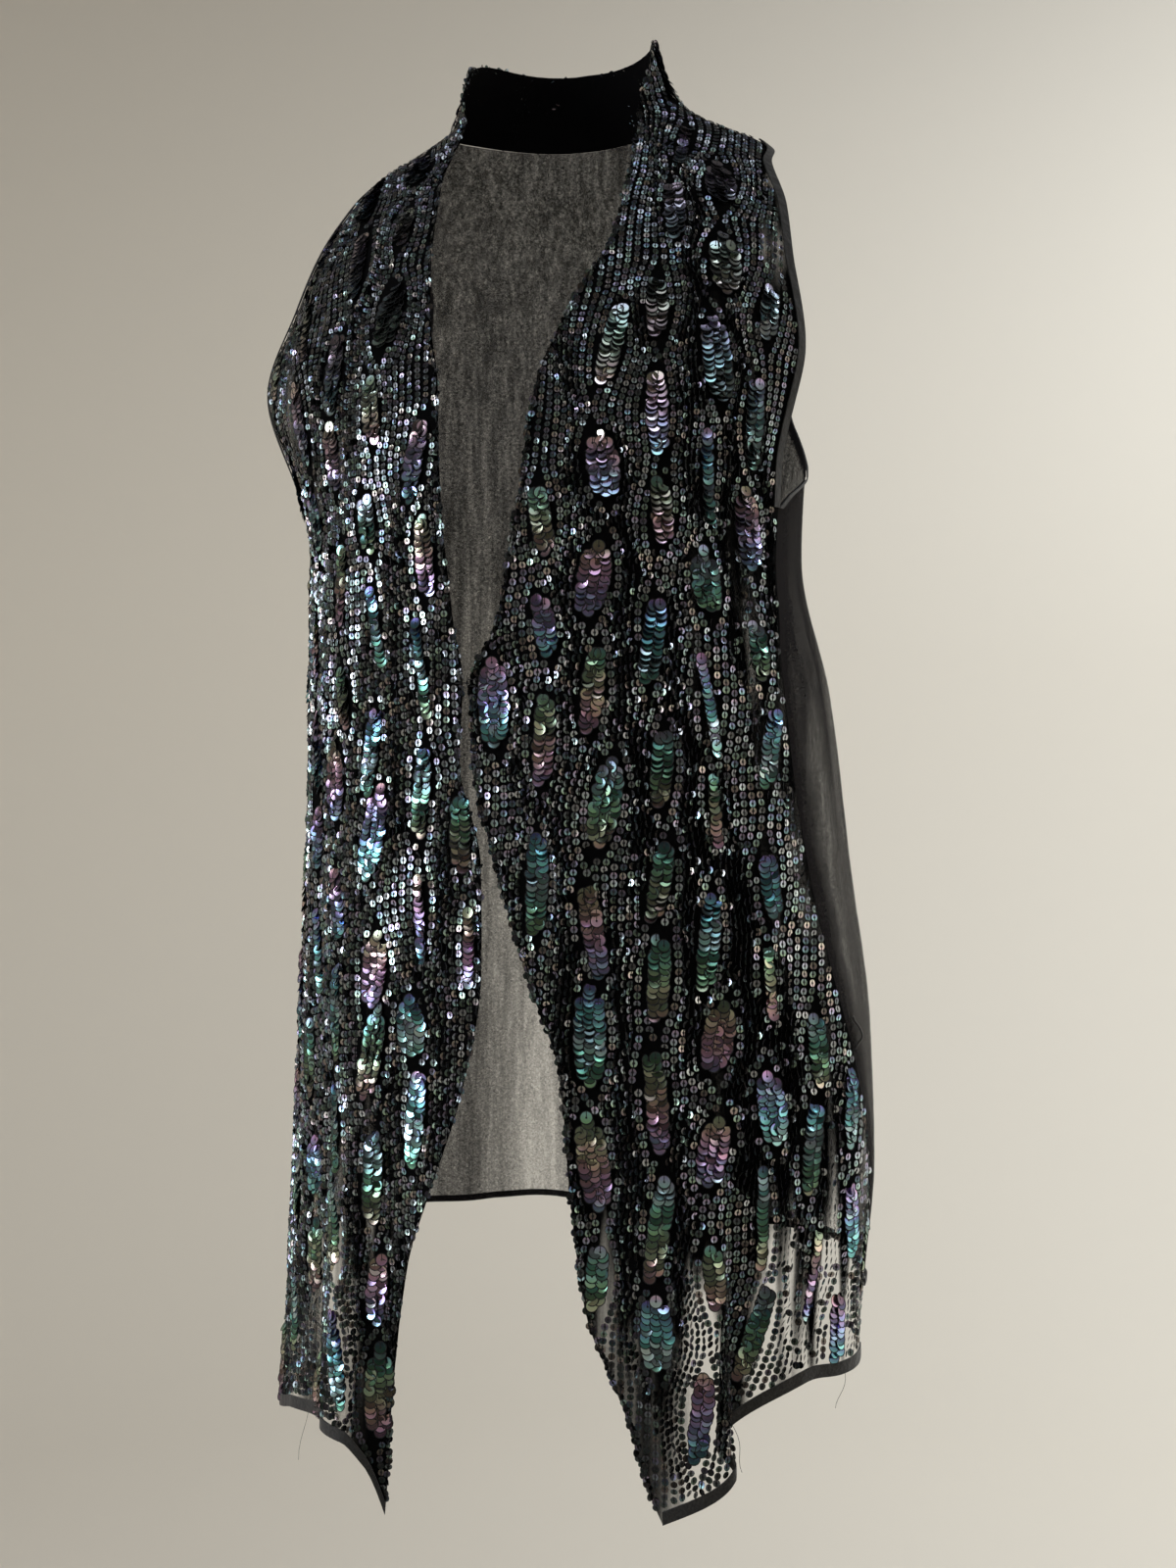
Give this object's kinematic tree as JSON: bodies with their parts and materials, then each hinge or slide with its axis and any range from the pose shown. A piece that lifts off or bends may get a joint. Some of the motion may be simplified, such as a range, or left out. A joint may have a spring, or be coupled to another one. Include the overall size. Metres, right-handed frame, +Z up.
{
  "type": "waistcoat",
  "caption": "Long open sequin-covered waistcoat on sheer black cloth, with a deep neckline, a short grown-on stand at the neck and pointed front hems.",
  "frame": {"origin": "centre of the neck opening, level with the place where the neck meets the shoulders", "axes": "+Z up the wearer's body, +X to the wearer's left, -Y to the front"},
  "size_m": [0.3676, 0.2551, 0.866],
  "materials": {
    "front": "glossy",
    "back": "matte",
    "edging": "matte",
    "thread": "matte"
  },
  "bodies": {
    "root": {"front_left": "front", "front_right": "front", "back": "back", "hem_band_left": "edging", "hem_band_right": "edging", "back_hem_edge": "edging", "armhole_binding_left": "edging", "armhole_binding_right": "edging", "back_armhole_edge_left": "edging", "back_armhole_edge_right": "edging", "closure_hook": "thread", "closure_eye": "thread", "side_loop_left": "thread"}
  },
  "joints": []
}
